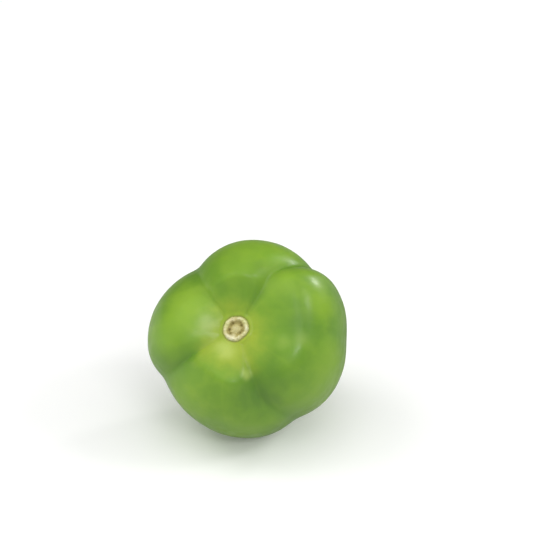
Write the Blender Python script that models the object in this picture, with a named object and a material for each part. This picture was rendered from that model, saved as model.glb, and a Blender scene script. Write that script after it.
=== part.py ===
# A tomatillo with its husk off: one solid fruit of five broad lobes, lying tipped on a table.
# Units are metres with +Z up. The origin is on the table, under the middle of the fruit's box, and
# the stem end is raised towards -Y.
#
# The fruit's own frame starts at its heart, on the core's axis, with +Z out through the stem scar.
# A polar angle is measured from the stem. A bearing goes anticlockwise round the stem, seen from
# outside, from the level line that points to the right of someone facing the stem end.
# Named lengths are in millimetres and named angles in degrees.

import math

import bmesh
import bpy
import numpy as np

MM = 0.001

# The creases between the lobes: name, bearing beside the stem, bearing at the waist, depth at the
# waist as a share of the reach there, how many times deeper on the shoulder, and how softly the two
# lobes run together on the shoulder.
CREASES = (
    ("right", 8.7, 7.7, 0.041, 1.0, 0.90),
    ("upper_right", 66.0, 52.7, 0.066, 1.7, 0.35),
    ("upper_left", 134.7, 131.2, 0.140, 1.0, 0.15),
    ("lower_left", 219.0, 212.7, 0.076, 1.5, 0.20),
    ("lower_right", 293.7, 307.7, 0.083, 1.5, 0.45),
)

# The lobes, each going round from the crease on the same row to the next one: name, where the crown
# lies between the two as a share of the way, and the crown's reach from the axis at the waist.
LOBES = (
    ("upper_right", 0.68, 28.9),
    ("top", 0.38, 28.3),
    ("left", 0.74, 28.0),
    ("bottom", 0.70, 27.4),
    ("lower_right", 0.63, 27.9),
)

# The sunken stem end: slopes that fall from the lobes' ridges to the scar, flat from crease to
# crease. Name, the creases at its two sides by their place in the list, steepest angle, and how
# softly it rolls over the ridge.
SLOPES = (
    ("right", 4, 1, 16.0, 3.20),
    ("top", 1, 2, 22.0, 0.30),
    ("left", 2, 3, 21.0, 2.20),
    ("bottom", 3, 4, 21.0, 0.50),
)
# Share of the steepest rise that is left along a crease, how flat a slope is across, how softly two
# slopes meet, and how far from the axis they start.
SLOPE_AT_CREASE = 0.39
SLOPE_CURVE = 1.2
SLOPE_SOFTNESS = 0.008
SLOPE_FOOT = 4.0
# How far to each side of its middle a slope's own ridge softness is felt, as a share of its width.
SLOPE_HOLD = 0.42
# A slope that a direction from the heart would never meet is taken as met at this cosine, far outside.
SLOPE_PARTS = 0.05

# How a crown curves from the waist over to the axis, as a superellipse above and below the waist.
SHOULDER_HEIGHT = 27.0
SHOULDER_POWER = 2.35
BASE_HEIGHT = 27.0
BASE_POWER = 2.1

# How softly neighbouring lobes run together in a crease at the waist and at the base, the polar
# angle from which the shoulder's own softness changes to that, and how far round a crease's
# softness is felt.
CREASE_SOFTNESS = (0.5, 1.2)
SOFTENS_FROM = 45.0
SOFTNESS_SPREAD = 22.0

# Polar angles over which a crease deepens below the stem, goes from its shoulder depth to its waist
# depth, then fades to the share of its depth that is left towards the base, and at last runs out at
# the blossom end.
CREASE_BEGINS = 4.0
CREASE_FULL = 40.0
SHOULDER_DEPTH_ENDS = (45.0, 80.0)
CREASE_FADES = 95.0
CREASE_FADED = 165.0
CREASE_BASE_SHARE = 0.40
CREASE_RUNS_OUT = 148.0

# Polar angles over which a crease swings from its bearing at the stem to the one at the waist.
SWING_BEGINS = 35.0
SWING_ENDS = 85.0

# Angle from a lobe's crown past which the two sides of its arc draw together, to meet behind it.
FAR_SIDE = 110.0

# The shallow hollow at the blossom end: share of the reach, angular width.
BLOSSOM_DIMPLE = (0.06, 14.0)

# The cork scar where the stem came off: a level disc that blends out into the lobes, carrying a
# raised ring, a moat and a low core. Each ridge or hollow has a radius, a height and a width.
SCAR_LEVEL = 20.35
SCAR_FLAT_RADIUS = 3.7
SCAR_BLEND_RADIUS = 5.2
SCAR_RING = (3.00, 0.50, 0.62)
SCAR_MOAT = (1.90, -0.45, 0.50)
SCAR_CORE = (0.00, 0.20, 1.10)
SCAR_LIP = (4.05, -0.18, 0.40)
SCAR_RADIUS = 3.70
# Unevenness of the ring round its way: number of bumps, share of the height, bearing of the first.
RING_BUMPS = ((3, 0.14, 20.0), (5, 0.16, 71.0), (8, 0.12, 8.0))

# The dried point of the blossom end, a low nub in its hollow.
NUB_RADIUS = 1.1
NUB_HEIGHT = 0.35

# How the fruit lies: the stem axis above the table, and its turn from -Y towards -X.
STEM_RAISED = 40.3
STEM_TURNED = 12.6
# Depth of the small flat spot that it rests on, measured up from the lowest point.
FLAT_DEPTH = 0.60

# Fineness of the surface. The rings of points are drawn in towards both ends.
SEGMENTS = 80
RINGS = 58
RING_SQUEEZE = 0.66

TABLE_WIDTH = 90.0
TABLE_THICKNESS = 12.0

SKIN_COLOUR = (0.220, 0.385, 0.045, 1.0)
CORK_COLOUR = (0.600, 0.530, 0.270, 1.0)


def ease(value, start, end):
    # 0 before start and 1 after end, with a smooth rise between.
    share = np.clip((value - start) / (end - start), 0.0, 1.0)
    return share * share * (3.0 - 2.0 * share)


def hump(distance, place, height, width):
    return height * np.exp(-(((distance - place) / width) ** 2))


def crown_reach(polar, waist_reach):
    # Distance from the heart to a lobe's crown line.
    across = np.abs(np.sin(polar)) / waist_reach
    along = np.abs(np.cos(polar))
    above = across**SHOULDER_POWER + (along / SHOULDER_HEIGHT) ** SHOULDER_POWER
    below = across**BASE_POWER + (along / BASE_HEIGHT) ** BASE_POWER
    return np.where(np.cos(polar) > 0.0, above ** (-1.0 / SHOULDER_POWER), below ** (-1.0 / BASE_POWER))


def arc_offset(crown, edge, edge_angle):
    # A lobe's cross-section is an arc about a centre that is set off towards the crown, by as much as
    # takes the arc through the crown at angle 0 and through the crease at edge_angle.
    return (crown**2 - edge**2) / (2.0 * (crown - edge * np.cos(np.radians(edge_angle))))


def lobe_arc(angle, crown, offset):
    turn = np.radians(angle)
    inside = np.maximum((crown - offset) ** 2 - (offset * np.sin(turn)) ** 2, 0.0)
    return offset * np.cos(turn) + np.sqrt(inside)


def turned_from(bearing, middle):
    # Signed angle of each bearing from a middle one, from -180 to 180.
    return (np.degrees(bearing) - middle + 180.0) % 360.0 - 180.0


def soft_maximum(values, softness):
    furthest = values.max(axis=0)
    return furthest + softness * np.log(np.exp((values - furthest) / softness).sum(axis=0))


def crease_softness(degrees, bearing, crease_bearings):
    # Each crease's own softness on the shoulder, blended between creases, and one for all below it.
    weights = []
    for crease_bearing in crease_bearings:
        away = turned_from(bearing, crease_bearing) / SOFTNESS_SPREAD
        weights.append(np.exp(-(away**2)))
    weights = np.array(weights)
    on_shoulder = np.array([crease[5] for crease in CREASES])[:, None]
    shoulder = (weights * on_shoulder).sum(axis=0) / weights.sum(axis=0)
    upper = shoulder + (CREASE_SOFTNESS[0] - shoulder) * ease(degrees, SOFTENS_FROM, 90.0)
    lower = np.interp(degrees, (90.0, 180.0), CREASE_SOFTNESS)
    return np.where(degrees < 90.0, upper, lower)


def lobed_reach(polar, bearing, crease_bearings):
    # Distance from the heart to the surface of the five lobes, before the hollows at the two ends.
    degrees = np.degrees(polar)
    depth_share = ease(degrees, CREASE_BEGINS, CREASE_FULL)
    depth_share = depth_share * (1.0 - (1.0 - CREASE_BASE_SHARE) * ease(degrees, CREASE_FADES, CREASE_FADED))
    depth_share = depth_share * (1.0 - ease(degrees, CREASE_RUNS_OUT, 180.0))
    on_shoulder = 1.0 - ease(degrees, *SHOULDER_DEPTH_ENDS)
    crowns = [crown_reach(polar, reach) for _, _, reach in LOBES]
    creases = []
    for index, (_, _, _, depth, deeper, _) in enumerate(CREASES):
        here = depth * depth_share * (1.0 + (deeper - 1.0) * on_shoulder)
        creases.append((crowns[index - 1] + crowns[index]) / 2.0 * (1.0 - here))
    arcs = []
    for index, (_, crown_share, _) in enumerate(LOBES):
        following = (index + 1) % len(LOBES)
        span = (crease_bearings[following] - crease_bearings[index]) % 360.0
        angle = turned_from(bearing, crease_bearings[index] + span * crown_share)
        before = arc_offset(crowns[index], creases[index], span * crown_share)
        after = arc_offset(crowns[index], creases[following], span * (1.0 - crown_share))
        side = np.sign(angle) * (1.0 - ease(np.abs(angle), FAR_SIDE, 180.0))
        offset = (before + after) / 2.0 + (after - before) / 2.0 * side
        arcs.append(lobe_arc(angle, crowns[index], offset))
    return soft_maximum(np.array(arcs), crease_softness(degrees, bearing, crease_bearings))


def sunken_reach(polar, bearing, lobed, crease_bearings):
    # The lobes' reach cut down to the slopes round the scar, rolled over softly at the ridge.
    rises, widths, weights = [], [], []
    for _, before, after, steepest, ridge_softness in SLOPES:
        span = (crease_bearings[after] - crease_bearings[before]) % 360.0
        angle = turned_from(bearing, crease_bearings[before] + span / 2.0)
        at_side = np.cos(np.radians(span / 2.0))
        towards_side = np.abs(1.0 - np.cos(np.radians(angle))) / (1.0 - at_side)
        fall = (1.0 - SLOPE_AT_CREASE) * towards_side**SLOPE_CURVE
        rises.append(math.tan(math.radians(steepest)) * (1.0 - fall))
        widths.append(ridge_softness)
        weights.append(np.exp(-((angle / (SLOPE_HOLD * span)) ** 4)))
    rise = soft_maximum(np.array(rises), SLOPE_SOFTNESS)
    weights = np.array(weights)
    softness = (weights * np.array(widths)[:, None]).sum(axis=0) / weights.sum(axis=0)
    facing = np.maximum(np.cos(polar) - rise * np.sin(polar), SLOPE_PARTS)
    slope = (SCAR_LEVEL - rise * SLOPE_FOOT) / facing
    cut = -soft_maximum(np.array([-lobed, -slope]), softness)
    return np.where(polar < math.pi / 2.0, cut, lobed)


def scar_relief(distance, bearing):
    unevenness = 1.0
    for count, share, first in RING_BUMPS:
        unevenness = unevenness + share * np.cos(count * (bearing - math.radians(first)))
    ring = hump(distance, *SCAR_RING) * unevenness
    return ring + hump(distance, *SCAR_MOAT) + hump(distance, *SCAR_CORE) + hump(distance, *SCAR_LIP)


def fruit_points(directions):
    # Points of the surface in the fruit's own frame, in millimetres, one for each direction.
    from_axis = np.hypot(directions[:, 0], directions[:, 1])
    polar = np.arctan2(from_axis, directions[:, 2])
    bearing = np.arctan2(directions[:, 1], directions[:, 0])
    degrees = np.degrees(polar)
    swing = ease(degrees, SWING_BEGINS, SWING_ENDS)
    crease_bearings = [crease[1] + (crease[2] - crease[1]) * swing for crease in CREASES]
    reach = lobed_reach(polar, bearing, crease_bearings)
    reach = sunken_reach(polar, bearing, reach, crease_bearings)
    reach = reach * (1.0 - hump(degrees, 180.0, *BLOSSOM_DIMPLE))
    distance = reach * np.sin(polar)
    height = reach * np.cos(polar)
    upper = degrees < 90.0
    level = np.where(upper, 1.0 - ease(distance, SCAR_FLAT_RADIUS, SCAR_BLEND_RADIUS), 0.0)
    height = height + (SCAR_LEVEL - height) * level
    height = height + np.where(upper, scar_relief(distance, bearing), 0.0)
    height = height - np.where(upper, 0.0, hump(distance, 0.0, NUB_HEIGHT, NUB_RADIUS))
    return np.stack([distance * np.cos(bearing), distance * np.sin(bearing), height], axis=1)


def material(name, colour, roughness):
    made = bpy.data.materials.new(name)
    made.use_nodes = True
    shader = made.node_tree.nodes["Principled BSDF"]
    shader.inputs["Base Color"].default_value = colour
    shader.inputs["Roughness"].default_value = roughness
    shader.inputs["Metallic"].default_value = 0.0
    made.diffuse_color = colour
    return made


def collection(name):
    made = bpy.data.collections.new(name)
    bpy.context.scene.collection.children.link(made)
    return made


def object_from(shape, name, home):
    mesh = bpy.data.meshes.new(name)
    shape.to_mesh(mesh)
    shape.free()
    made = bpy.data.objects.new(name, mesh)
    home.objects.link(made)
    return made


def make_fruit(home):
    shape = bmesh.new()
    bmesh.ops.create_uvsphere(shape, u_segments=SEGMENTS, v_segments=RINGS, radius=1.0)
    start = np.array([vertex.co for vertex in shape.verts], dtype=np.float64)
    polar = np.arctan2(np.hypot(start[:, 0], start[:, 1]), start[:, 2])
    polar = polar - RING_SQUEEZE * np.sin(2.0 * polar) / 2.0
    bearing = np.arctan2(start[:, 1], start[:, 0])
    flat = np.sin(polar)
    directions = np.stack([flat * np.cos(bearing), flat * np.sin(bearing), np.cos(polar)], axis=1)
    for vertex, point in zip(shape.verts, fruit_points(directions)):
        vertex.co = point * MM
    for face in shape.faces:
        centre = face.calc_center_median()
        on_scar = centre.z > 0.0 and math.hypot(centre.x, centre.y) < SCAR_RADIUS * MM
        face.material_index = 1 if on_scar else 0
    fruit = object_from(shape, "fruit", home)
    fruit.data.materials.append(material("tomatillo skin", SKIN_COLOUR, 0.28))
    fruit.data.materials.append(material("stem cork", CORK_COLOUR, 0.80))
    fruit.data.shade_smooth()
    return fruit


def lay_down(fruit):
    # Tips the fruit to how it lies, and sets its flat spot on the table under the box's middle.
    fruit.rotation_euler = (math.radians(90.0 - STEM_RAISED), 0.0, math.radians(-STEM_TURNED))
    turn = np.array(fruit.rotation_euler.to_matrix(), dtype=np.float64)
    points = np.array([vertex.co for vertex in fruit.data.vertices], dtype=np.float64) @ turn.T
    low = points.min(axis=0)
    high = points.max(axis=0)
    middle = (low + high) / 2.0
    fruit.location = (-middle[0], -middle[1], -low[2] - FLAT_DEPTH * MM)


def make_table_cutter(home):
    # Everything below the table's top is taken off, which leaves the flat spot.
    shape = bmesh.new()
    bmesh.ops.create_cube(shape, size=1.0)
    for vertex in shape.verts:
        vertex.co.x *= TABLE_WIDTH * MM
        vertex.co.y *= TABLE_WIDTH * MM
        vertex.co.z = (vertex.co.z - 0.5) * TABLE_THICKNESS * MM
    table = object_from(shape, "table_cutter", home)
    table.hide_render = True
    table.display_type = "WIRE"
    return table


def main():
    for old in list(bpy.data.objects):
        bpy.data.objects.remove(old)
    fruit = make_fruit(collection("tomatillo"))
    lay_down(fruit)
    rest = fruit.modifiers.new("flat spot", "BOOLEAN")
    rest.operation = "DIFFERENCE"
    rest.solver = "EXACT"
    rest.object = make_table_cutter(collection("cutters"))


main()
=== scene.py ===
import math

import bmesh
import bpy
import numpy as np
from mathutils import Euler, Matrix, Vector, noise


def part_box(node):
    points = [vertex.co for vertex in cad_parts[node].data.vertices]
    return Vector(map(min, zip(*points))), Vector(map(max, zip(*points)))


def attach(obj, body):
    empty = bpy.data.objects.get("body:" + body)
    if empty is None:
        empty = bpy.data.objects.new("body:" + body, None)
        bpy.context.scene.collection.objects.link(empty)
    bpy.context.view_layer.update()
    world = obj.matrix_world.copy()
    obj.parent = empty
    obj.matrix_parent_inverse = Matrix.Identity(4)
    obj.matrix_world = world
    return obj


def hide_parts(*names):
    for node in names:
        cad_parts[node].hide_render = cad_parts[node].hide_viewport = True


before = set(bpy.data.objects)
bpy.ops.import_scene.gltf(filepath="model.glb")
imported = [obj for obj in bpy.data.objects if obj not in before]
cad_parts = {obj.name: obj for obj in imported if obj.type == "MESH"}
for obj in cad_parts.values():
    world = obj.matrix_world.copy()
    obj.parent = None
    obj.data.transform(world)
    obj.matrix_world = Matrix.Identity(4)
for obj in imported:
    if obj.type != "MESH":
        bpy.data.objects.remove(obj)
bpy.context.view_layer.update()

mm = 0.001

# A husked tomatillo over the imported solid: its skin, the cork of its stem scar and its blossom point.
# The fruit is worked out in its own frame, in millimetres from its heart with +Z out through the stem
# scar. Bearings go anticlockwise round the stem, seen from outside, from the viewer's right.
fruitForm = {
    # each crease: bearing at the stem, at the waist, depth, times deeper on the shoulder, softness there
    "creases": (
        (8.7, 7.7, 0.041, 1.0, 0.90),
        (66.0, 52.7, 0.066, 1.7, 0.35),
        (134.7, 131.2, 0.140, 1.0, 0.15),
        (219.0, 212.7, 0.076, 1.5, 0.20),
        (293.7, 307.7, 0.083, 1.5, 0.45),
    ),
    # each lobe, from the crease on the same row to the next: where its crown lies, and how far out
    "lobes": ((0.68, 28.9), (0.38, 28.3), (0.74, 28.0), (0.70, 27.4), (0.63, 27.9)),
    # flat slopes that sink to the scar: the two creases at the sides, steepest angle, softness of the ridge
    "slopes": ((4, 1, 16.0, 3.20), (1, 2, 22.0, 0.30), (2, 3, 21.0, 2.20), (3, 4, 21.0, 0.50)),
    "slopeSides": (0.39, 1.2),      # share of the rise left along a crease, flatness across
    "slopeMeets": 0.008,            # softness where two slopes meet
    "slopeFoot": 4.0,               # distance from the axis where the slopes start to rise
    "slopeHold": 0.42,              # share of its span over which a slope's ridge keeps its own softness
    "slopeParts": 0.05,             # stops a slope before it runs out level with the waist
    "shoulder": (27.0, 2.35),       # half height over the waist, power of the curve
    "base": (27.0, 2.1),            # and under it
    "softness": (0.5, 1.2),         # how lobes run together at the waist and at the base
    "softensFrom": 45.0,            # polar angle where a crease's own softness starts to give way to that
    "softnessSpread": 22.0,         # degrees round the fruit that a crease's own softness reaches
    "deepens": (4.0, 40.0),         # polar angles between which a crease deepens
    "shoulderDepth": (45.0, 80.0),  # where its depth changes from the shoulder's to the waist's
    "fades": (95.0, 165.0, 0.40),   # where it fades, to this share
    "runsOut": (148.0, 180.0),      # and where it runs out
    "swings": (35.0, 85.0),         # polar angles of the swing from the stem bearing to the waist bearing
    "farSide": 110.0,               # degrees from a lobe's crown where its two sides start to run together
    "shadeMaskWidths": (0.9, 5.5),       # how wide the painted-shade masks of the groove and of the hollow are
    "blossomDimple": (0.06, 14.0),  # share of the reach, angular width
    "scarLevel": 20.35,
    "scarFlat": (3.7, 5.2),         # the level disc round the scar, and where it has blended out
    "lie": (40.3, 12.6),            # stem axis over the table, and its turn to the left
}


def ease(value, start, end):
    share = np.clip((value - start) / (end - start), 0.0, 1.0)
    return share * share * (3.0 - 2.0 * share)


def hump(distance, place, height, width):
    return height * np.exp(-(((distance - place) / width) ** 2))


def turnedFrom(bearing, middle):
    return (np.degrees(bearing) - middle + 180.0) % 360.0 - 180.0


def softMaximum(values, softness):
    furthest = values.max(axis=0)
    return furthest + softness * np.log(np.exp((values - furthest) / softness).sum(axis=0))


def crownReach(polar, waistReach):
    shoulderHeight, shoulderPower = fruitForm["shoulder"]
    baseHeight, basePower = fruitForm["base"]
    across = np.abs(np.sin(polar)) / waistReach
    along = np.abs(np.cos(polar))
    above = across**shoulderPower + (along / shoulderHeight) ** shoulderPower
    below = across**basePower + (along / baseHeight) ** basePower
    return np.where(np.cos(polar) > 0.0, above ** (-1.0 / shoulderPower), below ** (-1.0 / basePower))


def arcOffset(crown, edge, edgeAngle):
    return (crown**2 - edge**2) / (2.0 * (crown - edge * np.cos(np.radians(edgeAngle))))


def lobeArc(angle, crown, offset):
    turn = np.radians(angle)
    squared = (crown - offset) ** 2 - (offset * np.sin(turn)) ** 2
    return offset * np.cos(turn) + np.sqrt(np.maximum(squared, 0.0))


def creaseSoftness(degrees, bearing, bearings):
    # each crease's own softness on the shoulder, blended between creases, and one for all below it
    form = fruitForm
    weights = np.array([hump(turnedFrom(bearing, at), 0.0, 1.0, form["softnessSpread"]) for at in bearings])
    onShoulder = np.array([crease[4] for crease in form["creases"]])[:, None]
    shoulder = (weights * onShoulder).sum(axis=0) / weights.sum(axis=0)
    upper = shoulder + (form["softness"][0] - shoulder) * ease(degrees, form["softensFrom"], 90.0)
    return np.where(degrees < 90.0, upper, np.interp(degrees, (90.0, 180.0), form["softness"]))


def lobedReach(polar, bearing, bearings):
    # distance from the heart to the five lobes, and how near a crease each point lies (0 to 1), which the
    # painted shade of the creases follows
    form = fruitForm
    degrees = np.degrees(polar)
    fadeStart, fadeEnd, depthLeft = form["fades"]
    depthShare = ease(degrees, *form["deepens"]) * (1.0 - ease(degrees, *form["runsOut"]))
    depthShare = depthShare * (1.0 - (1.0 - depthLeft) * ease(degrees, fadeStart, fadeEnd))
    onShoulder = 1.0 - ease(degrees, *form["shoulderDepth"])
    crowns = [crownReach(polar, reach) for place, reach in form["lobes"]]
    edges = []
    for index, crease in enumerate(form["creases"]):
        depth, deeper = crease[2:4]
        here = depth * depthShare * (1.0 + (deeper - 1.0) * onShoulder)
        edges.append((crowns[index - 1] + crowns[index]) / 2.0 * (1.0 - here))
    arcs = []
    for index, (place, reach) in enumerate(form["lobes"]):
        following = (index + 1) % len(form["lobes"])
        span = (bearings[following] - bearings[index]) % 360.0
        angle = turnedFrom(bearing, bearings[index] + span * place)
        before = arcOffset(crowns[index], edges[index], span * place)
        after = arcOffset(crowns[index], edges[following], span * (1.0 - place))
        side = np.sign(angle) * (1.0 - ease(np.abs(angle), form["farSide"], 180.0))
        arcs.append(lobeArc(angle, crowns[index], (before + after) / 2.0 + (after - before) / 2.0 * side))
    arcs = np.sort(np.array(arcs), axis=0)
    between = arcs[-1] - arcs[-2]
    # masks of the painted shade in the grooves and hollows
    grooveShadeWidth, hollowShadeWidth = form["shadeMaskWidths"]
    masks = {"grooveShade": np.exp(-between / grooveShadeWidth) * depthShare,
             "hollowShade": np.exp(-between / hollowShadeWidth) * depthShare}
    return softMaximum(arcs, creaseSoftness(degrees, bearing, bearings)), masks


def sunkenReach(polar, bearing, bearings, lobed):
    # the lobes cut down to the slopes round the scar, rolled over softly at the ridge
    form = fruitForm
    sideShare, flatness = form["slopeSides"]
    rises, weights = [], []
    for first, last, steepest, softness in form["slopes"]:
        span = (bearings[last] - bearings[first]) % 360.0
        angle = turnedFrom(bearing, bearings[first] + span / 2.0)
        towardsSide = np.abs(1.0 - np.cos(np.radians(angle))) / (1.0 - np.cos(np.radians(span / 2.0)))
        rises.append(math.tan(math.radians(steepest)) * (1.0 - (1.0 - sideShare) * towardsSide**flatness))
        weights.append(np.exp(-((angle / (form["slopeHold"] * span)) ** 4)))
    rise = softMaximum(np.array(rises), form["slopeMeets"])
    weights = np.array(weights)
    ridges = np.array([slope[3] for slope in form["slopes"]])[:, None]
    softness = (weights * ridges).sum(axis=0) / weights.sum(axis=0)
    facing = np.maximum(np.cos(polar) - rise * np.sin(polar), form["slopeParts"])
    slope = (form["scarLevel"] - rise * form["slopeFoot"]) / facing
    cut = -softMaximum(np.array([-lobed, -slope]), softness)
    return np.where(polar < math.pi / 2.0, cut, lobed)


def fruitPoints(polar, bearing):
    # the plain surface: distance from the axis, height, and the masks of the creases
    degrees = np.degrees(polar)
    swing = ease(degrees, *fruitForm["swings"])
    bearings = [crease[0] + (crease[1] - crease[0]) * swing for crease in fruitForm["creases"]]
    reach, masks = lobedReach(polar, bearing, bearings)
    reach = sunkenReach(polar, bearing, bearings, reach)
    reach = reach * (1.0 - hump(degrees, 180.0, *fruitForm["blossomDimple"]))
    distance = reach * np.sin(polar)
    height = reach * np.cos(polar)
    level = np.where(degrees < 90.0, 1.0 - ease(distance, *fruitForm["scarFlat"]), 0.0)
    return distance, height + (fruitForm["scarLevel"] - height) * level, masks


def cornerPoints(distance, bearing, height):
    return np.stack([distance * np.cos(bearing), distance * np.sin(bearing), height], axis=1)


def lieOfFruit():
    # the turn and shift that take the fruit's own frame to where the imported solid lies
    raised, turned = fruitForm["lie"]
    turn = np.array(Euler((math.radians(90.0 - raised), 0.0, math.radians(-turned))).to_matrix())
    polar, bearing = np.meshgrid(np.linspace(0.0, math.pi, 181), np.linspace(-math.pi, math.pi, 241))
    distance, height = fruitPoints(polar.ravel(), bearing.ravel())[:2]
    points = cornerPoints(distance, bearing.ravel(), height) @ turn.T * mm
    low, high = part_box("fruit")
    lowest, highest = points.min(axis=0), points.max(axis=0)
    shift = (np.array(low) + np.array(high) - lowest - highest) / 2.0
    shift[2] = high.z - highest[2]  # the flat spot cuts the bottom, so the tops are matched
    return turn, shift


fruitTurn, fruitShift = lieOfFruit()
heart = Vector(fruitShift)
print("heart of the fruit at", [round(value * 1000, 2) for value in heart], "mm")


def wander(points, size, height, seed):
    # soft noise at each point, up and down by this height, with features of about this size; each seed
    # looks at another part of the noise
    moved = points / size + seed * np.array((7.3, 3.1, 5.7))
    return height * np.array([noise.noise(point) for point in moved.tolist()])


def ruffle(bearing, count, sways):
    # ripples round the axis, spaced unevenly by the sways: count, size, phase
    turn = count * bearing
    for times, far, phase in sways:
        turn = turn + far * np.sin(times * bearing + phase)
    return np.cos(turn)


def bodyFrom(name, around, rings, shapeOf):
    # a closed round mesh: a grid is rolled up and welded into a ball, then moved to where shapeOf says
    shape = bmesh.new()
    bmesh.ops.create_grid(shape, x_segments=around, y_segments=rings, size=0.5)
    for vertex in shape.verts:
        polar = math.pi * (0.5 - vertex.co.y)
        bearing = 2.0 * math.pi * vertex.co.x
        across = math.sin(polar)
        vertex.co = (across * math.cos(bearing), across * math.sin(bearing), math.cos(polar))
    bmesh.ops.remove_doubles(shape, verts=shape.verts, dist=1e-5)
    mesh = bpy.data.meshes.new(name)
    shape.to_mesh(mesh)
    shape.free()
    start = np.empty(len(mesh.vertices) * 3, dtype=np.float32)
    mesh.vertices.foreach_get("co", start)
    start = start.reshape(-1, 3).astype(np.float64)
    polar = np.arctan2(np.hypot(start[:, 0], start[:, 1]), start[:, 2])
    places, masks = shapeOf(polar, np.arctan2(start[:, 1], start[:, 0]))
    world = places @ fruitTurn.T * mm + fruitShift
    world[:, 2] = np.maximum(world[:, 2], 0.0)  # the flat spot that it rests on
    mesh.vertices.foreach_set("co", world.astype(np.float32).ravel())
    kept = mesh.attributes.new("fruitPlace", "FLOAT_VECTOR", "POINT")
    kept.data.foreach_set("vector", places.astype(np.float32).ravel())
    for maskName, values in masks.items():
        kept = mesh.attributes.new(maskName, "FLOAT", "POINT")
        kept.data.foreach_set("value", values.astype(np.float32))
    mesh.shade_smooth()
    piece = bpy.data.objects.new(name, mesh)
    bpy.context.scene.collection.objects.link(piece)
    print(name, "has", len(mesh.polygons), "faces")
    return piece


# The scar's rim isn't quite round
scarOutline = {
    "size": 0.945,                  # against the plain disc
    # each bulge: count round the rim, share, bearing of the first
    "bulges": ((1, 0.030, 135.0), (2, 0.045, 48.0), (3, 0.014, 20.0), (5, 0.010, 65.0), (9, 0.006, 0.0)),
}


def fromRim(distance, bearing):
    # distance from the axis, evened out so that the rim lies all round at the same value
    rim = scarOutline["size"]
    for count, share, first in scarOutline["bulges"]:
        rim = rim + share * np.cos(count * (bearing - math.radians(first)))
    return distance / rim, rim


# Skin

skinShape = {
    "around": 320,
    "rings": 240,
    "squeeze": 0.60,                # draws the rings in towards both ends
    "waves": ((11.0, 0.11, 1.0), (4.2, 0.035, 2.0)),  # size, height, seed of the uneven growth
    "wavesFrom": (3.5, 9.0),        # distances from the axis where they start and are whole
    "puckers": (5.2, 0.018, 1.2),   # distance from the axis, height, width
    "puckerRuffle": (13, ((3, 1.6, 0.0), (7, 0.9, 1.0))),  # count, and the sways that space them unevenly
    "lip": (4.45, 0.085, 0.38),     # the skin swells a little round the scar
    "seat": (3.30, 3.85, 1.0),      # where it dives under the cork, and how deep
    "blossomPuckers": (2.2, 0.045, 0.9),  # the same at the far end
    "blossomRuffle": (17, ((2, 1.2, 0.0),)),
    "noScar": 99.0,                 # what the far half holds as its distance from the scar
}


def skinPoints(polar, bearing):
    look = skinShape
    polar = polar - look["squeeze"] * np.sin(2.0 * polar) / 2.0
    distance, height, masks = fruitPoints(polar, bearing)
    upper = polar < math.pi / 2.0
    start, end, deep = look["seat"]
    evened = fromRim(distance, bearing)[0]
    top = hump(distance, *look["puckers"]) * ruffle(bearing, *look["puckerRuffle"])
    top = top + hump(evened, *look["lip"]) - deep * (1.0 - ease(evened, start, end))
    bottom = hump(distance, *look["blossomPuckers"]) * ruffle(bearing, *look["blossomRuffle"])
    height = height + np.where(upper, top, -bottom)
    places = cornerPoints(distance, bearing, height)
    outward = places / np.linalg.norm(places, axis=1)[:, None]
    share = ease(distance, *look["wavesFrom"])[:, None]
    for wave in look["waves"]:
        places = places + outward * share * wander(places, *wave)[:, None]
    masks["fromScar"] = np.where(upper, evened, look["noScar"])
    return places, masks


# Stem scar

scarShape = {
    "around": 300,
    "rings": 190,
    "edge": 3.98,                   # distance from the axis to the rim that the skin holds
    "thick": 1.3,
    "underRises": (3.0, 0.35),      # from where the hidden underside rises, and by which share
    "ring": (2.98, 0.52, 0.62),     # distance, height, width
    "lumps": ((3, 0.13, 20.0), (5, 0.15, 71.0), (10, 0.20, 8.0), (17, 0.10, 3.0)),  # count, share, bearing
    "moat": (1.92, -0.42, 0.50),
    "moatGap": (262.0, 0.85, 30.0),  # bearing where the moat is bridged, how much, how far round
    "drift": ((2, 0.13, 1.0), (5, 0.07, 2.0)),  # ring and moat wander in and out: count, distance, phase
    "driftNoise": (1.1, 0.10, 6.0),  # size, distance, seed
    "driftsBetween": (0.4, 2.0, 3.6),  # where they start to, where they do in full, and up to where
    "core": (0.0, 0.20, 1.15),
    "fall": (3.35, 3.95, 0.42),     # where the edge falls away, and how deep
    "fallNoise": (0.6, 0.12, 9.0),
    "pits": (                       # bearing, distance, depth
        (43, 1.80, 1.0), (62, 2.10, 0.55), (88, 2.15, 0.30), (127, 2.0, 0.95), (146, 1.75, 0.45),
        (190, 1.95, 1.0), (225, 2.05, 0.55), (322, 1.85, 0.60), (352, 2.05, 0.35),
    ),
    "pit": (0.34, 0.42),            # radius and depth of the deepest
    "crumbs": ((0.85, 0.15, 3.0), (0.38, 0.09, 4.0), (0.15, 0.022, 5.0)),  # size, height, seed
    "fibres": (46, 0.035),          # count round the ring, height
    "fibreBend": (1.6, 3.0, 8.0),   # size, how far they bend, seed
    "fibresBetween": (1.6, 2.8, 3.5),
}


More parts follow.
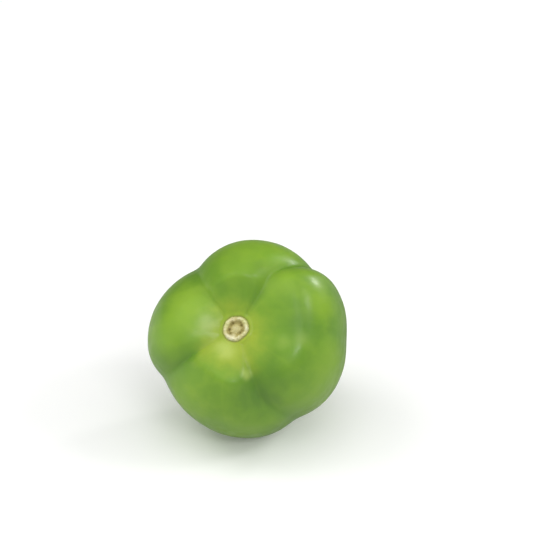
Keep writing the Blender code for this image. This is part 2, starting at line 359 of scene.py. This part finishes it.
def scarPoints(polar, bearing):
    look = scarShape
    edge = look["edge"]
    top = polar <= math.pi / 2.0
    distance = edge * np.where(top, polar, math.pi - polar) / (math.pi / 2.0)
    flat = cornerPoints(distance, bearing, np.zeros_like(distance))
    drift = wander(flat, *look["driftNoise"])
    for count, far, phase in look["drift"]:
        drift = drift + far * np.sin(count * bearing + phase)
    uneven = 1.0
    for count, share, first in look["lumps"]:
        uneven = uneven + share * np.cos(count * (bearing - math.radians(first)))
    start, whole, last = look["driftsBetween"]
    reliefAt = distance - drift * ease(distance, start, whole) * (1.0 - ease(distance, last, edge))
    gapAt, gapShare, gapWide = look["moatGap"]
    bridged = 1.0 - hump(turnedFrom(bearing, gapAt), 0.0, gapShare, gapWide)
    lift = hump(reliefAt, *look["ring"]) * uneven + hump(reliefAt, *look["moat"]) * bridged
    lift = lift + hump(distance, *look["core"])
    pitRadius, pitDepth = look["pit"]
    pits = np.zeros_like(distance)
    for pitBearing, pitDistance, share in look["pits"]:
        turn = math.radians(pitBearing)
        away = np.hypot(flat[:, 0] - pitDistance * math.cos(turn), flat[:, 1] - pitDistance * math.sin(turn))
        pits = np.maximum(pits, hump(away, 0.0, share, pitRadius))
    lift = lift - pitDepth * pits
    count, tall = look["fibres"]
    start, whole, last = look["fibresBetween"]
    fibre = np.sin(count * bearing + wander(flat, *look["fibreBend"])) * tall * ease(distance, start, whole)
    lift = lift + fibre * (1.0 - ease(distance, last, edge))
    for crumb in look["crumbs"]:
        lift = lift + wander(flat, *crumb)
    start, end, deep = look["fall"]
    lift = lift - deep * ease(distance + wander(flat, *look["fallNoise"]), start, end)
    start, share = look["underRises"]
    under = -look["thick"] * (1.0 - share * ease(distance, start, edge))
    relief = np.where(top, lift, under)
    rim = fromRim(distance, bearing)[1]
    places = cornerPoints(distance * rim, bearing, fruitForm["scarLevel"] + relief)
    return places, {"lift": relief, "pits": pits, "fromScar": distance}


# Dried point of the blossom end

blossomShape = {
    "around": 160,
    "rings": 90,
    "edge": 1.35,
    "tall": 0.42,
    "cup": (0.0, 0.45, 0.22),       # the dip at its middle: place, share, width
    "eye": (0.0, 1.0, 0.2),         # and the dark of it
    "thick": 0.7,
    "sink": 0.16,
    "petals": (5, 0.18, 0.6),       # rays of the dried flower base, how much they stand out, their turn
    "crumbs": ((0.45, 0.07, 11.0), (0.18, 0.03, 12.0)),
}


def blossomPoints(polar, bearing):
    look = blossomShape
    outside = polar >= math.pi / 2.0
    share = np.where(outside, math.pi - polar, polar) / (math.pi / 2.0)
    rays, stand, turn = look["petals"]
    distance = look["edge"] * share * (1.0 + stand * np.cos(rays * bearing + turn) * share)
    flat = cornerPoints(distance, bearing, np.zeros_like(distance))
    lift = look["tall"] * (1.0 - share**2) * (1.0 - hump(share, *look["cup"]))
    for crumb in look["crumbs"]:
        lift = lift + wander(flat, *crumb) * (1.0 - share**4)
    level = fruitPoints(np.array([math.pi]), np.array([0.0]))[1]
    relief = np.where(outside, lift - look["sink"], -look["thick"])
    places = cornerPoints(distance, bearing, level[0] - relief)
    return places, {"lift": relief, "pits": hump(share, *look["eye"])}


# Small helpers that keep the node trees short

nodeWidth = 190
nodeHeight = 170


def placeNode(tree, kind, column, row):
    made = tree.nodes.new(kind)
    made.location = (column * nodeWidth, -row * nodeHeight)
    return made


def addNode(tree, kind, column, row, **values):
    made = placeNode(tree, "ShaderNode" + kind, column, row)
    for name, value in values.items():
        setattr(made, name, value)
    return made


def feed(tree, socket, value):
    # wires an output in, or sets the socket's own value
    if isinstance(value, bpy.types.NodeSocket):
        tree.links.new(value, socket)
    else:
        socket.default_value = value


def calc(tree, column, row, operation, *values):
    made = addNode(tree, "Math", column, row, operation=operation)
    for socket, value in zip(made.inputs, values):
        feed(tree, socket, value)
    return made.outputs[0]


def spread(tree, column, row, value, low, high, outLow=0.0, outHigh=1.0):
    made = addNode(tree, "MapRange", column, row, interpolation_type="SMOOTHSTEP")
    for socket, given in zip(made.inputs, (value, low, high, outLow, outHigh)):
        feed(tree, socket, given)
    return made.outputs[0]


def blendColours(tree, column, row, share, first, second):
    made = addNode(tree, "Mix", column, row, data_type="RGBA", blend_type="MIX")
    feed(tree, made.inputs[0], share)
    feed(tree, made.inputs[6], first)
    feed(tree, made.inputs[7], second)
    return made.outputs[2]


def vectorCalc(tree, column, row, operation, *values):
    made = addNode(tree, "VectorMath", column, row, operation=operation)
    for socket, value in zip(made.inputs, values):
        feed(tree, socket, value)
    return made.outputs[1] if operation == "LENGTH" else made.outputs[0]


def useGroup(tree, column, row, group, **values):
    made = addNode(tree, "Group", column, row, node_tree=group)
    for name, value in values.items():
        feed(tree, made.inputs[name], value)
    return made.outputs[0]


def newGroup(name, inputs, output):
    group = bpy.data.node_groups.new(name, "ShaderNodeTree")
    for socketName, kind, value in inputs:
        made = group.interface.new_socket(name=socketName, in_out="INPUT", socket_type="NodeSocket" + kind)
        if kind == "Float":
            made.default_value = value
    group.interface.new_socket(name=output, in_out="OUTPUT", socket_type="NodeSocketFloat")
    return group, placeNode(group, "NodeGroupInput", -3, 0), placeNode(group, "NodeGroupOutput", 6, 0)


# Effects that more than one finish uses

noiseDetail = {"streaks": 3.0, "grain": 4.0, "swell": 1.0}
swellScale = 0.23                   # of the grain's scale


def makeMottle():
    # cloudy patches: soft noise cut between Low and High
    group, given, out = newGroup("mottle", (
        ("Place", "Vector", None), ("Size", "Float", 10.0), ("Detail", "Float", 2.0),
        ("Low", "Float", 0.35), ("High", "Float", 0.65), ("Shift", "Float", 0.0)), "Mask")
    moved = vectorCalc(group, -1, 0, "ADD", given.outputs["Place"], given.outputs["Shift"])
    cloud = addNode(group, "TexNoise", 1, 0)
    feed(group, cloud.inputs["Vector"], moved)
    feed(group, cloud.inputs["Scale"], calc(group, -1, 1, "DIVIDE", 1.0, given.outputs["Size"]))
    feed(group, cloud.inputs["Detail"], given.outputs["Detail"])
    mask = spread(group, 3, 0, cloud.outputs[0], given.outputs["Low"], given.outputs["High"])
    feed(group, out.inputs["Mask"], mask)
    return group


def makeSpeckle():
    # scattered round dots: Share of the cells of this Size hold one
    group, given, out = newGroup("speckle", (
        ("Place", "Vector", None), ("Size", "Float", 1.0), ("Dot", "Float", 0.3),
        ("Share", "Float", 0.5)), "Mask")
    cells = addNode(group, "TexVoronoi", 0, 0)
    feed(group, cells.inputs["Vector"], given.outputs["Place"])
    feed(group, cells.inputs["Scale"], calc(group, -1, 1, "DIVIDE", 1.0, given.outputs["Size"]))
    dot = spread(group, 2, 0, cells.outputs["Distance"], 0.0, given.outputs["Dot"], 1.0, 0.0)
    draw = addNode(group, "SeparateColor", 1, 1)
    feed(group, draw.inputs[0], cells.outputs["Color"])
    chosen = calc(group, 3, 1, "LESS_THAN", draw.outputs[0], given.outputs["Share"])
    feed(group, out.inputs["Mask"], calc(group, 4, 0, "MULTIPLY", dot, chosen))
    return group


def makeStreaks():
    # lines that run out from the axis and over the shoulders, like veins and fibres
    group, given, out = newGroup("streaks", (
        ("Place", "Vector", None), ("Fineness", "Float", 8.0), ("Along", "Float", 0.05),
        ("Low", "Float", 0.4), ("High", "Float", 0.6)), "Mask")
    level = vectorCalc(group, -1, 0, "MULTIPLY", given.outputs["Place"], (1.0, 1.0, 0.0))
    bearing = vectorCalc(group, 0, 0, "NORMALIZE", level)
    around = vectorCalc(group, 1, 0, "SCALE", bearing)
    feed(group, around.node.inputs["Scale"], given.outputs["Fineness"])
    lengthwise = vectorCalc(group, 1, 1, "SCALE", given.outputs["Place"])
    feed(group, lengthwise.node.inputs["Scale"], given.outputs["Along"])
    lines = addNode(group, "TexNoise", 3, 0)
    feed(group, lines.inputs["Vector"], vectorCalc(group, 2, 0, "ADD", around, lengthwise))
    lines.inputs["Scale"].default_value = 1.0
    lines.inputs["Detail"].default_value = noiseDetail["streaks"]
    mask = spread(group, 4, 0, lines.outputs[0], given.outputs["Low"], given.outputs["High"])
    feed(group, out.inputs["Mask"], mask)
    return group


def makeGrain():
    # fine unevenness for a Bump node, coarse and fine together
    group, given, out = newGroup("grain", (
        ("Place", "Vector", None), ("Size", "Float", 0.5), ("Coarse", "Float", 0.6)), "Height")
    scale = calc(group, -1, 1, "DIVIDE", 1.0, given.outputs["Size"])
    fine = addNode(group, "TexNoise", 1, 0)
    feed(group, fine.inputs["Vector"], given.outputs["Place"])
    feed(group, fine.inputs["Scale"], scale)
    fine.inputs["Detail"].default_value = noiseDetail["grain"]
    coarse = addNode(group, "TexNoise", 1, 2)
    feed(group, coarse.inputs["Vector"], given.outputs["Place"])
    feed(group, coarse.inputs["Scale"], calc(group, 0, 2, "MULTIPLY", scale, swellScale))
    coarse.inputs["Detail"].default_value = noiseDetail["swell"]
    swell = calc(group, 3, 1, "MULTIPLY", coarse.outputs[0], given.outputs["Coarse"])
    feed(group, out.inputs["Height"], calc(group, 4, 0, "ADD", fine.outputs[0], swell))
    return group


def makePatch():
    # a round patch about Middle that fades out from Inner to Outer, its edge pushed about by Wander
    group, given, out = newGroup("patch", (
        ("Place", "Vector", None), ("Middle", "Vector", None), ("Inner", "Float", 1.0),
        ("Outer", "Float", 2.0), ("Wander", "Float", 0.0), ("Share", "Float", 1.0)), "Mask")
    apart = vectorCalc(group, -1, 0, "SUBTRACT", given.outputs["Place"], given.outputs["Middle"])
    away = calc(group, 1, 0, "ADD", vectorCalc(group, 0, 0, "LENGTH", apart), given.outputs["Wander"])
    limits = [given.outputs[limit] for limit in ("Inner", "Outer", "Share")]
    mask = spread(group, 3, 0, away, *limits, 0.0)
    feed(group, out.inputs["Mask"], mask)
    return group


mottle = makeMottle()
speckle = makeSpeckle()
patch = makePatch()
streaks = makeStreaks()
grain = makeGrain()
print("node groups ready")


def newMaterial(name, columns):
    made = bpy.data.materials.new(name)
    made.use_nodes = True
    tree = made.node_tree
    shader = tree.nodes["Principled BSDF"]
    shader.location = (columns * nodeWidth, 0)
    tree.nodes["Material Output"].location = ((columns + 2) * nodeWidth, 0)
    place = addNode(tree, "Attribute", -2, 0, attribute_type="GEOMETRY", attribute_name="fruitPlace")
    return made, tree, shader, place.outputs["Vector"]


def setShader(shader, values):
    for name, value in values.items():
        shader.inputs[name].default_value = value


def maskNode(tree, column, row, name):
    made = addNode(tree, "Attribute", column, row, attribute_type="GEOMETRY", attribute_name=name)
    return made.outputs["Fac"]


def tint(tree, column, colour, mask, share, tone):
    # lays this share of the tone over the colour where the mask is white
    part = calc(tree, column, 1.2, "MULTIPLY", mask, share)
    return blendColours(tree, column, 0, part, colour, tone)


def bumpFrom(tree, column, row, height, depth):
    made = addNode(tree, "Bump", column, row)
    made.inputs["Strength"].default_value = 1.0
    made.inputs["Distance"].default_value = depth * mm
    feed(tree, made.inputs["Height"], height)
    return made.outputs["Normal"]


skinLook = {
    "leafGreen": (0.238, 0.425, 0.035, 1.0),
    "deepGreen": (0.178, 0.342, 0.030, 1.0),
    # a fresher green: the skin's own tone in the clouds and veins, and partly painted light in the patches
    "freshAndLitGreen": (0.295, 0.475, 0.041, 1.0),
    "yellowGreen": (0.410, 0.484, 0.045, 1.0),
    # painted shade in the hollows between the lobes
    "hollowShadeGreen": (0.095, 0.235, 0.026, 1.0),
    # painted sheen and highlights: a pale tone, and a cooler one for the highlight left of the scar
    "paleSkinAndSheen": (0.520, 0.630, 0.170, 1.0),
    "paintedCoolSheen": (0.520, 0.640, 0.330, 1.0),
    # painted shade down in the grooves
    "creaseShadeGreen": (0.130, 0.280, 0.028, 1.0),
    "lipOlive": (0.250, 0.250, 0.070, 1.0),
    # painted shade, laid on in patches
    "paintedShadeGreen": (0.100, 0.222, 0.028, 1.0),
    "broad": {"Size": 17.0, "Detail": 2.0, "Low": 0.36, "High": 0.66},
    "clouds": {"Size": 6.5, "Detail": 3.0, "Low": 0.45, "High": 0.75, "Shift": 31.0},
    "cloudShare": 0.45,
    # shares of the painted shade in the hollows and in the grooves
    "hollowShadeShare": 0.60,
    "grooveShadeShare": 0.35,
    "patches": (                    # tone, middle, where it starts and ends to fade, share
        # partly the skin's own fresher green, partly painted light on these lobes
        ("freshAndLitGreen", (-13.0, 5.5, 22.5), 3.0, 13.0, 0.70),
        ("freshAndLitGreen", (11.0, 14.0, 22.0), 2.0, 11.0, 0.45),
        ("freshAndLitGreen", (22.5, 10.5, 17.0), 3.0, 11.0, 0.60),
        ("freshAndLitGreen", (0.5, 18.0, 21.5), 3.0, 11.0, 0.22),
        ("freshAndLitGreen", (25.0, -4.5, 13.5), 3.0, 12.0, 0.42),
        # painted shade: darker patches on the lobes and slopes
        ("paintedShadeGreen", (-12.5, -7.5, 22.5), 1.0, 7.0, 0.32),
        ("paintedShadeGreen", (8.5, -17.0, 18.5), 3.0, 13.0, 0.85),
        ("paintedShadeGreen", (18.0, 5.0, 21.0), 1.5, 8.0, 0.28),
        ("paintedShadeGreen", (11.0, -7.0, 21.5), 1.0, 6.5, 0.22),
        ("paintedShadeGreen", (5.0, 17.5, 21.0), 1.5, 6.5, 0.30),
        ("paintedShadeGreen", (15.1, -10.8, 20.6), 1.5, 7.5, 0.24),
        ("paintedShadeGreen", (-1.1, 8.8, 22.2), 2.0, 7.5, 0.12),
        ("paintedShadeGreen", (8.2, 0.2, 21.0), 2.0, 7.0, 0.12),
        ("paintedShadeGreen", (-14.5, -3.9, 22.9), 1.5, 6.0, 0.12),
        ("yellowGreen", (-0.4, -2.4, 20.0), 4.0, 15.0, 0.70),
        ("yellowGreen", (0.5, -8.3, 21.3), 2.5, 8.5, 0.32),
        ("yellowGreen", (-7.0, -8.4, 22.3), 1.0, 4.5, 0.24),
        # paler skin with painted sheen below the scar; the rows after it are painted highlights on the right
        # lobe, left of the scar and at the tip of the lower crease
        ("paleSkinAndSheen", (-1.9, -5.9, 21.2), 1.2, 5.4, 0.50),
        ("paleSkinAndSheen", (13.6, -2.1, 21.8), 0.5, 3.6, 0.14),
        ("paintedCoolSheen", (-8.0, 0.6, 21.8), 1.0, 4.6, 0.25),
        ("paleSkinAndSheen", (4.4, -12.3, 21.2), 0.4, 2.9, 0.55),
        ("paleSkinAndSheen", (18.4, -0.8, 21.1), 0.5, 3.6, 0.15),
    ),
    "ragged": {"Size": 5.0, "Detail": 3.0, "Low": 0.2, "High": 0.8, "Shift": 11.0},
    "raggedness": 0.27,             # share of a patch by which its edge wanders
    "veins": {"Fineness": 9.0, "Along": 0.06, "Low": 0.50, "High": 0.72},
    "veinShare": 0.10,
    "lipLine": (3.75, 4.4, 0.40, 0.0),  # where the olive line starts and ends to fade, its shares there
    "wax": {"Size": 4.0, "Detail": 4.0, "Low": 0.3, "High": 0.7, "Shift": 57.0},
    "roughness": (0.29, 0.41),
    "pebbles": {"Size": 0.55, "Coarse": 2.2},
    "pebbleDepth": 0.012,
    "shader": {
        "Metallic": 0.0, "IOR": 1.40, "Subsurface Weight": 0.22, "Subsurface Radius": (1.0, 1.5, 0.35),
        "Subsurface Scale": 0.0014, "Coat Weight": 0.06, "Coat Roughness": 0.09, "Coat IOR": 1.40,
    },
}


def skinMaterial():
    look = skinLook
    firstPatch = 6
    last = firstPatch + len(look["patches"])
    made, tree, shader, place = newMaterial("tomatilloSkin", last + 4)
    broad = useGroup(tree, 1, 2.4, mottle, Place=place, **look["broad"])
    colour = blendColours(tree, 1, 0, broad, look["deepGreen"], look["leafGreen"])
    clouds = useGroup(tree, 2, 2.4, mottle, Place=place, **look["clouds"])
    colour = tint(tree, 2, colour, clouds, look["cloudShare"], look["freshAndLitGreen"])
    # painted shade: the hollows between the lobes are painted a deeper green, most of all down in the
    # grooves
    hollowShade = maskNode(tree, 3, 2.4, "hollowShade")
    colour = tint(tree, 3, colour, hollowShade, look["hollowShadeShare"], look["hollowShadeGreen"])
    grooveShade = maskNode(tree, 4, 2.4, "grooveShade")
    colour = tint(tree, 4, colour, grooveShade, look["grooveShadeShare"], look["creaseShadeGreen"])
    # broad patches with ragged edges: the yellow ones are the skin's own tone, the darker ones painted
    # shade, the pale ones painted sheen and highlights, and the fresh green ones partly the skin's own tone
    # and partly painted light
    ragged = useGroup(tree, 4, 4, mottle, Place=place, **look["ragged"])
    for column, (tone, middle, inner, outer, share) in enumerate(look["patches"], firstPatch):
        wandering = calc(tree, column, 4, "MULTIPLY", ragged, outer * look["raggedness"])
        mask = useGroup(tree, column, 2, patch, Place=place, Middle=middle, Inner=inner, Outer=outer,
                        Wander=wandering, Share=share)
        colour = blendColours(tree, column, 0, mask, colour, look[tone])
    # faint veins under the skin
    veins = useGroup(tree, last, 2.4, streaks, Place=place, **look["veins"])
    colour = tint(tree, last, colour, veins, look["veinShare"], look["freshAndLitGreen"])
    # olive line where the skin meets the cork
    line = spread(tree, last + 1, 2, maskNode(tree, last + 1, 4, "fromScar"), *look["lipLine"])
    colour = blendColours(tree, last + 1, 0, line, colour, look["lipOlive"])
    feed(tree, shader.inputs["Base Color"], colour)
    # waxy bloom: the gloss is patchy
    wax = useGroup(tree, last, 6, mottle, Place=place, **look["wax"])
    feed(tree, shader.inputs["Roughness"], spread(tree, last + 1, 6, wax, 0.0, 1.0, *look["roughness"]))
    pebbles = useGroup(tree, last, 8, grain, Place=place, **look["pebbles"])
    feed(tree, shader.inputs["Normal"], bumpFrom(tree, last + 1, 8, pebbles, look["pebbleDepth"]))
    setShader(shader, look["shader"])
    return made


corkLook = {
    "ivoryHighlight": (0.840, 0.815, 0.545, 1.0),
    "cream": (0.665, 0.632, 0.330, 1.0),
    "tan": (0.425, 0.370, 0.135, 1.0),
    "brown": (0.230, 0.182, 0.052, 1.0),
    "greenEdge": (0.480, 0.500, 0.170, 1.0),
    "bone": (0.860, 0.840, 0.680, 1.0),
    "lime": (0.680, 0.720, 0.300, 1.0),
    "rose": (0.560, 0.450, 0.260, 1.0),
    "creamFrom": (-0.28, 0.48),     # lift over which tan gives way to cream
    "crestHighlight": (0.35, 0.75),          # and cream to ivory: paler cork and a painted highlight along the crest of the ring
    "crestHighlightShare": 0.75,
    "fibres": {"Fineness": 15.0, "Along": 0.9, "Low": 0.48, "High": 0.70},
    "fibreShare": 0.35,
    "stains": {"Size": 0.6, "Detail": 4.0, "Low": 0.50, "High": 0.70},
    "stainShare": 0.60,
    "pores": {"Size": 0.60, "Dot": 0.42, "Share": 0.40},
    "poreShare": 0.45,
    "tints": (                      # as the skin's patches: parts of the ring that differ from the rest
        ("bone", (-1.1, -2.9, 20.9), 0.4, 2.2, 0.42),
        ("lime", (-2.9, 0.9, 20.9), 0.2, 1.6, 0.45),
        ("rose", (-1.3, 2.6, 20.9), 0.2, 1.5, 0.40),
        ("lime", (2.1, 2.4, 20.9), 0.2, 1.6, 0.40),
        ("bone", (2.9, 0.6, 20.9), 0.2, 1.2, 0.25),
    ),
    "pitShare": 0.80,
    "edgeLine": (3.25, 3.9, 0.0, 0.8),  # where the green edge starts and is whole, its shares there
    "crumbs": {"Size": 0.16, "Coarse": 1.0},
    "crumbDepth": 0.05,
    "shader": {"Metallic": 0.0, "Roughness": 0.80, "IOR": 1.45, "Subsurface Weight": 0.08,
               "Subsurface Radius": (1.0, 0.8, 0.4), "Subsurface Scale": 0.0005},
}


def corkMaterial():
    look = corkLook
    firstTint = 6
    last = firstTint + len(look["tints"])
    made, tree, shader, place = newMaterial("stemCork", last + 4)
    lift = maskNode(tree, -1, 2.4, "lift")
    high = spread(tree, 1, 2.4, lift, *look["creamFrom"])
    colour = blendColours(tree, 1, 0, high, look["tan"], look["cream"])
    # paler cork and a painted highlight: the crest of the ring turns ivory
    crestHighlight = spread(tree, 2, 2.4, lift, *look["crestHighlight"])
    colour = tint(tree, 2, colour, crestHighlight, look["crestHighlightShare"], look["ivoryHighlight"])
    fibres = useGroup(tree, 3, 2.4, streaks, Place=place, **look["fibres"])
    colour = tint(tree, 3, colour, fibres, look["fibreShare"], look["tan"])
    stains = useGroup(tree, 4, 2.4, mottle, Place=place, **look["stains"])
    colour = tint(tree, 4, colour, stains, look["stainShare"], look["tan"])
    pores = useGroup(tree, 5, 2.4, speckle, Place=place, **look["pores"])
    colour = tint(tree, 5, colour, pores, look["poreShare"], look["brown"])
    for column, (tone, middle, inner, outer, share) in enumerate(look["tints"], firstTint):
        mask = useGroup(tree, column, 2, patch, Place=place, Middle=middle, Inner=inner, Outer=outer,
                        Share=share)
        colour = blendColours(tree, column, 0, mask, colour, look[tone])
    colour = tint(tree, last, colour, maskNode(tree, last, 2.4, "pits"), look["pitShare"], look["brown"])
    edge = spread(tree, last + 1, 2, maskNode(tree, last + 1, 4, "fromScar"), *look["edgeLine"])
    colour = blendColours(tree, last + 1, 0, edge, colour, look["greenEdge"])
    feed(tree, shader.inputs["Base Color"], colour)
    crumbs = useGroup(tree, last, 6, grain, Place=place, **look["crumbs"])
    feed(tree, shader.inputs["Normal"], bumpFrom(tree, last + 1, 6, crumbs, look["crumbDepth"]))
    setShader(shader, look["shader"])
    return made


blossomLook = {
    "husk": (0.300, 0.215, 0.095, 1.0),
    "dark": (0.085, 0.055, 0.022, 1.0),
    "stains": {"Size": 0.5, "Detail": 4.0, "Low": 0.35, "High": 0.65},
    "fibres": {"Fineness": 7.0, "Along": 0.8, "Low": 0.45, "High": 0.65},
    "fibreShare": 0.5,
    "pitShare": 0.8,
    "crumbs": {"Size": 0.14, "Coarse": 1.0},
    "crumbDepth": 0.05,
    "shader": {"Metallic": 0.0, "Roughness": 0.85},
}


def blossomMaterial():
    look = blossomLook
    made, tree, shader, place = newMaterial("driedBlossomPoint", 7)
    stains = useGroup(tree, 1, 2.4, mottle, Place=place, **look["stains"])
    colour = blendColours(tree, 1, 0, stains, look["dark"], look["husk"])
    fibres = useGroup(tree, 2, 2.4, streaks, Place=place, **look["fibres"])
    colour = tint(tree, 2, colour, fibres, look["fibreShare"], look["husk"])
    colour = tint(tree, 3, colour, maskNode(tree, 3, 2.4, "pits"), look["pitShare"], look["dark"])
    feed(tree, shader.inputs["Base Color"], colour)
    crumbs = useGroup(tree, 3, 5, grain, Place=place, **look["crumbs"])
    feed(tree, shader.inputs["Normal"], bumpFrom(tree, 4, 5, crumbs, look["crumbDepth"]))
    setShader(shader, look["shader"])
    return made


def dress(piece, material):
    piece.data.materials.append(material)
    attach(piece, "root")
    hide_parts("fruit")


skin = bodyFrom("fruitSkin", skinShape["around"], skinShape["rings"], skinPoints)
scar = bodyFrom("stemScar", scarShape["around"], scarShape["rings"], scarPoints)
blossom = bodyFrom("blossomPoint", blossomShape["around"], blossomShape["rings"], blossomPoints)
dress(skin, skinMaterial())
dress(scar, corkMaterial())
dress(blossom, blossomMaterial())
print("fruit dressed")


# Floor, light and camera

studio = {
    "floorWidth": 8.0,              # metres
    "floorBelow": 0.05,             # millimetres under the fruit
    "floorTone": (0.97, 0.97, 0.965, 1.0),
    "floorShade": (0.955, 0.955, 0.95, 1.0),
    "floorMottle": {"Size": 0.4, "Detail": 2.0, "Low": 0.2, "High": 0.8},
    "floorBounce": (0.60, 0.60, 0.58, 1.0),  # what the floor throws up at the fruit
    "floorGloss": (0.55, 0.55, 0.54, 1.0),  # what of it shows in the gloss, in front and behind
    "floorGlossBehind": (0.26, 0.26, 0.26, 1.0),
    "behindFrom": (0.02, 0.09),     # metres behind on the right where the one gives way to the other
    "floorShader": {"Roughness": 0.7, "Specular IOR Level": 0.2, "Emission Color": (1.0, 1.0, 1.0, 1.0),
                    "Emission Strength": 0.06},  # the glow lifts the floor to the pale studio white
    "softboxes": {                  # where from, metres away, width and height, glow, seen in the gloss
        "overhead": ((-0.06, -0.03, 1.0), 1.0, (0.44, 0.40), 1.05, False),
        "frontRight": ((0.25, -0.73, 0.63), 1.0, (0.34, 0.12), 10.5, True),
        "front": ((0.16, -0.46, 0.87), 1.0, (0.34, 0.20), 1.7, True),
        "rightUpper": ((0.73, -0.13, 0.67), 1.0, (0.24, 0.17), 11.0, True),
        "rightLower": ((0.88, -0.25, 0.35), 1.0, (0.40, 0.40), 2.3, False),
        "leftHigh": ((-0.60, 0.10, 0.79), 1.0, (0.60, 0.50), 2.1, False),
        "leftLow": ((-0.95, -0.30, 0.10), 1.0, (0.80, 0.50), 2.5, False),
        "rightBehind": ((0.71, 0.62, 0.34), 1.2, (0.16, 0.14), 33.0, True),
    },
    "skySides": (0.505, 0.505, 0.505, 1.0),
    "skyTop": (1.07, 1.07, 1.07, 1.0),
    "topFrom": (0.45, 0.95),        # height over which the sides give way to the top
    "skyBehind": 0.22,              # share of that light that comes from behind the fruit
    "behindBetween": (-0.1, 0.65),
    "skyGloss": 0.42,               # share of the sky that shows in the gloss
    "skyGlossRight": 0.35,          # and how much of that is left on the right
    "rightBetween": (0.2, 0.8),
    "backdrop": (0.97, 0.97, 0.97, 1.0),
}


def layFloor():
    shape = bmesh.new()
    bmesh.ops.create_grid(shape, x_segments=2, y_segments=2, size=studio["floorWidth"] / 2.0)
    mesh = bpy.data.meshes.new("floor")
    shape.to_mesh(mesh)
    shape.free()
    floor = bpy.data.objects.new("floor", mesh)
    floor.location.z = -studio["floorBelow"] * mm
    bpy.context.scene.collection.objects.link(floor)
    made = bpy.data.materials.new("paleFloor")
    made.use_nodes = True
    tree = made.node_tree
    shader = tree.nodes["Principled BSDF"]
    where = addNode(tree, "TexCoord", -2, 0)
    tone = useGroup(tree, 0, 0, mottle, Place=where.outputs["Object"], **studio["floorMottle"])
    seen = blendColours(tree, 1, 0, tone, studio["floorShade"], studio["floorTone"])
    # the floor throws less light up at the fruit than the camera sees
    ray = addNode(tree, "LightPath", 1, 2)
    parts = addNode(tree, "SeparateXYZ", -1, 3)
    feed(tree, parts.inputs[0], where.outputs["Object"])
    backRight = calc(tree, 0, 3, "ADD", parts.outputs[0], parts.outputs[1])
    behind = spread(tree, 1, 3, backRight, *studio["behindFrom"])
    gloss = blendColours(tree, 2, 3, behind, studio["floorGloss"], studio["floorGlossBehind"])
    thrown = blendColours(tree, 2, 1, ray.outputs["Is Glossy Ray"], studio["floorBounce"], gloss)
    colour = blendColours(tree, 3, 0, ray.outputs["Is Camera Ray"], thrown, seen)
    feed(tree, shader.inputs["Base Color"], colour)
    setShader(shader, studio["floorShader"])
    mesh.materials.append(made)


def hangSoftbox(name, fromWhere, away, size, glow, inGloss):
    lamp = bpy.data.lights.new(name, "AREA")
    lamp.shape = "RECTANGLE"
    lamp.size, lamp.size_y = size
    lamp.energy = glow * math.pi * size[0] * size[1]
    box = bpy.data.objects.new(name, lamp)
    direction = Vector(fromWhere).normalized()
    box.location = heart + direction * away
    box.rotation_euler = direction.to_track_quat("Z", "Y").to_euler()
    box.visible_camera = False
    box.visible_glossy = inGloss
    bpy.context.scene.collection.objects.link(box)


def paintSky():
    # soft light from all round, brightest overhead and dim behind; the camera sees a plain pale backdrop
    world = bpy.data.worlds.new("studioSky")
    bpy.context.scene.world = world
    world.use_nodes = True
    tree = world.node_tree
    where = addNode(tree, "TexCoord", -3, 0)
    parts = addNode(tree, "SeparateXYZ", -2, 0)
    feed(tree, parts.inputs[0], where.outputs["Generated"])
    up = spread(tree, -1, 0, parts.outputs[2], *studio["topFrom"])
    glow = blendColours(tree, 0, 0, up, studio["skySides"], studio["skyTop"])
    behind = spread(tree, -1, 1, parts.outputs[1], *studio["behindBetween"], 1.0, studio["skyBehind"])
    glow = vectorCalc(tree, 1, 0, "SCALE", glow)
    ray = addNode(tree, "LightPath", -1, 2)
    gloss = studio["skyGloss"]
    right = gloss * studio["skyGlossRight"]
    glossy = spread(tree, -1, 3, parts.outputs[0], *studio["rightBetween"], gloss, right)
    shown = spread(tree, 0, 2, ray.outputs["Is Glossy Ray"], 0.0, 1.0, 1.0, glossy)
    feed(tree, glow.node.inputs["Scale"], calc(tree, 0, 1, "MULTIPLY", behind, shown))
    glow = blendColours(tree, 2, 0, ray.outputs["Is Camera Ray"], glow, studio["backdrop"])
    feed(tree, tree.nodes["Background"].inputs["Color"], glow)


photoView = {
    "raised": 32.0,                 # the camera looks down by this much
    "away": 0.5179,                 # metres from the heart
    "lens": 120.0,
    "sensor": 36.0,
    "frame": 550.0,                 # the photograph's side in pixels
    "heartAt": (248.5, 340.5),      # where the heart falls in it
}


def placeCamera():
    look = photoView
    raised = math.radians(look["raised"])
    back = Vector((0.0, -math.cos(raised), math.sin(raised)))
    up = Vector((0.0, math.sin(raised), math.cos(raised)))
    right = Vector((1.0, 0.0, 0.0))
    data = bpy.data.cameras.new("photoCamera")
    data.lens = look["lens"]
    data.sensor_width = look["sensor"]
    camera = bpy.data.objects.new("photoCamera", data)
    facing = Matrix((right, up, back)).transposed()
    inPixels = look["frame"] * look["lens"] / look["sensor"]
    middle = look["frame"] / 2.0
    tilt = math.atan((look["heartAt"][1] - middle) / inPixels)
    swing = -math.atan((middle - look["heartAt"][0]) / inPixels)
    aim = facing @ Euler((tilt, swing, 0.0)).to_matrix()
    camera.matrix_world = Matrix.Translation(heart + back * look["away"]) @ aim.to_4x4()
    bpy.context.scene.collection.objects.link(camera)
    bpy.context.scene.camera = camera


layFloor()
for boxName, settings in studio["softboxes"].items():
    hangSoftbox(boxName, *settings)
paintSky()
placeCamera()
bpy.context.scene.view_settings.view_transform = "Standard"
print("studio ready")
